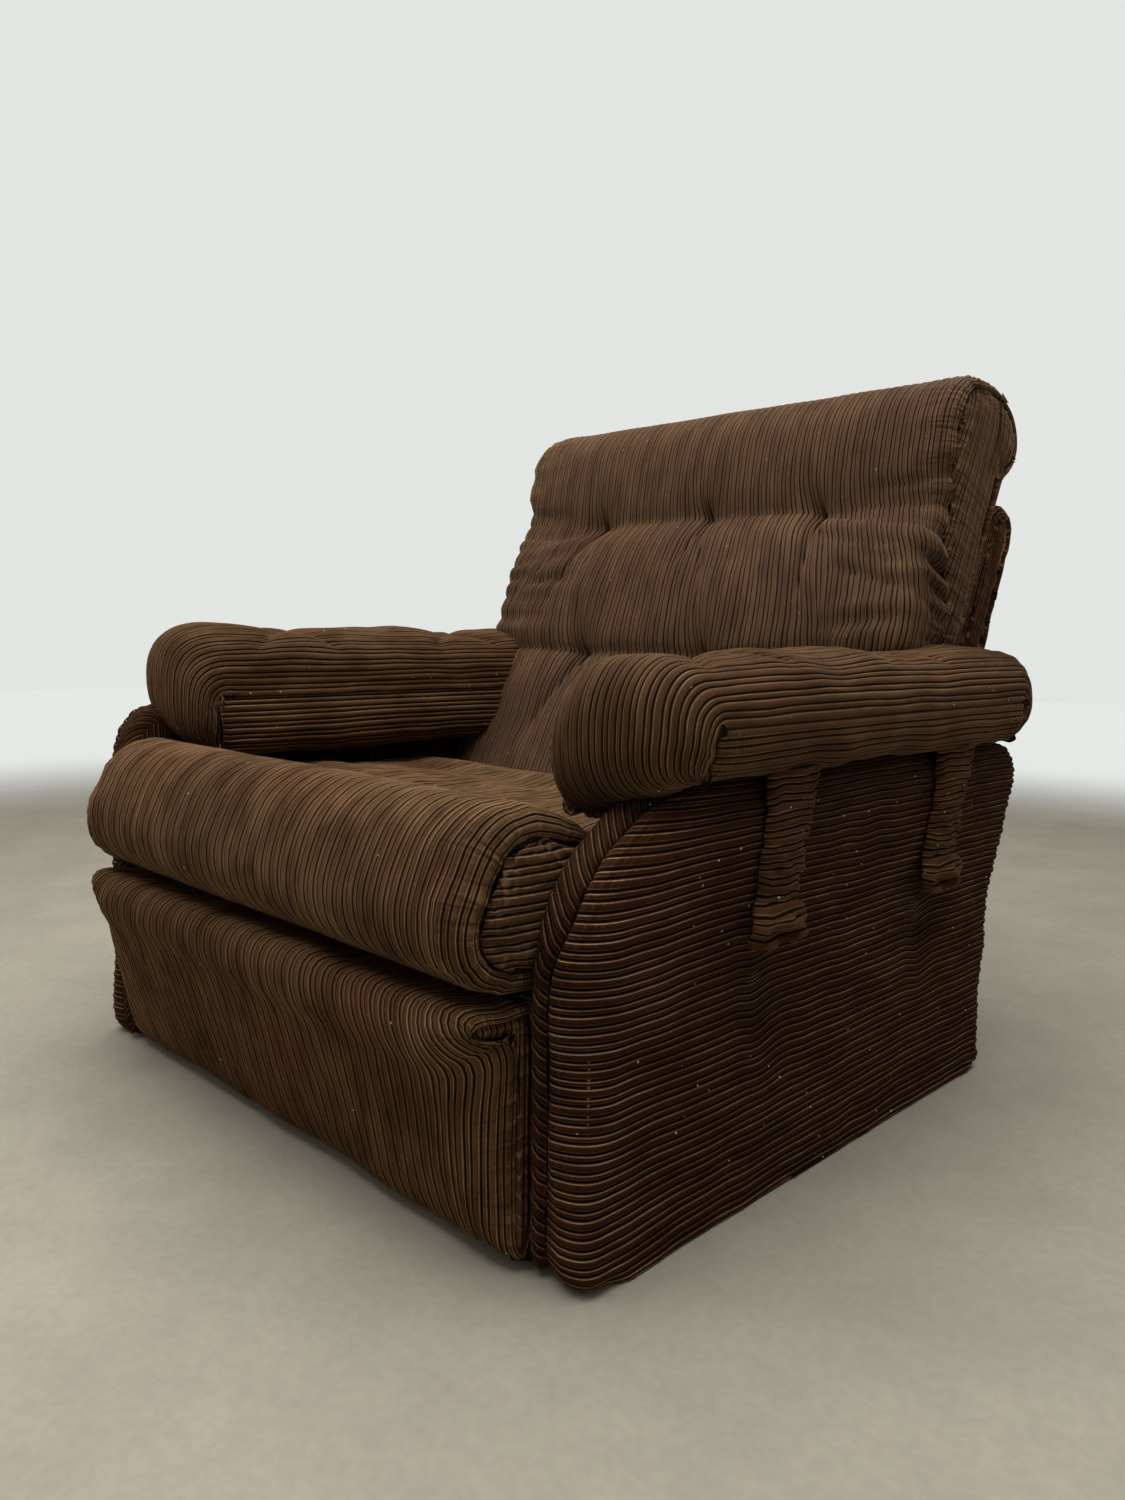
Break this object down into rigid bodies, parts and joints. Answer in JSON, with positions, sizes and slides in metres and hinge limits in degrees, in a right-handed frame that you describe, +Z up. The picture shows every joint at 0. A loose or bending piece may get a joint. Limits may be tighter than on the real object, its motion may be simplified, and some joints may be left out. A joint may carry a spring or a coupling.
{
  "type": "armchair",
  "caption": "Low wide lounge armchair in wide brown corduroy, with loose seat, back and arm cushions on padded side panels, and strapped-down arms.",
  "frame": {"origin": "middle of the chair's overall footprint, on the floor", "axes": "+Z up, front of the chair towards -Y, +X towards the sitter's left arm as seen from the front right"},
  "size_m": [0.952, 1.022, 0.8891],
  "materials": {
    "corduroy": "wide thick-and-thin wale corduroy, brown, worn, velvety",
    "timber": "rough-sawn softwood",
    "hardboard": "pressed hardboard",
    "rubber_webbing": "textile-faced rubber webbing",
    "dark_cloth": "thin dark lining cloth",
    "plastic_glide": "hard dark plastic",
    "zinc_steel": "zinc-plated steel"
  },
  "bodies": {
    "root": {"apron_pad": "corduroy", "arm_cushion_left": "corduroy", "arm_cushion_right": "corduroy", "back_bolt_left": "zinc_steel", "back_bolt_right": "zinc_steel", "back_bottom_rail": "timber", "back_cushion": "corduroy", "back_lumbar_rail": "timber", "back_panel_cover": "corduroy", "back_post_left": "timber", "back_post_right": "timber", "back_top_rail": "timber", "back_webbing_1": "rubber_webbing", "back_webbing_2": "rubber_webbing", "back_webbing_3": "rubber_webbing", "corner_block_front_left": "timber", "corner_block_front_right": "timber", "corner_block_rear_left": "timber", "corner_block_rear_right": "timber", "deck_cloth": "dark_cloth", "glide_front_left": "plastic_glide", "glide_front_right": "plastic_glide", "glide_rear_left": "plastic_glide", "glide_rear_right": "plastic_glide", "seat_bolt_front_left": "zinc_steel", "seat_bolt_front_right": "zinc_steel", "seat_bolt_rear_left": "zinc_steel", "seat_bolt_rear_right": "zinc_steel", "seat_cushion": "corduroy", "seat_front_rail": "timber", "seat_rear_rail": "timber", "seat_side_rail_left": "timber", "seat_side_rail_right": "timber", "seat_webbing_1": "rubber_webbing", "seat_webbing_2": "rubber_webbing", "seat_webbing_3": "rubber_webbing", "seat_webbing_4": "rubber_webbing", "seat_webbing_5": "rubber_webbing", "side_arm_rail_left": "timber", "side_arm_rail_right": "timber", "side_board_inner_left": "hardboard", "side_board_inner_right": "hardboard", "side_board_outer_left": "hardboard", "side_board_outer_right": "hardboard", "side_bottom_rail_left": "timber", "side_bottom_rail_right": "timber", "side_cover_left": "corduroy", "side_cover_right": "corduroy", "side_front_post_left": "timber", "side_front_post_right": "timber", "side_middle_rail_left": "timber", "side_middle_rail_right": "timber", "side_rear_post_left": "timber", "side_rear_post_right": "timber", "strap_front_left": "corduroy", "strap_front_right": "corduroy", "strap_rear_left": "corduroy", "strap_rear_right": "corduroy", "underside_cloth": "dark_cloth"}
  },
  "joints": []
}
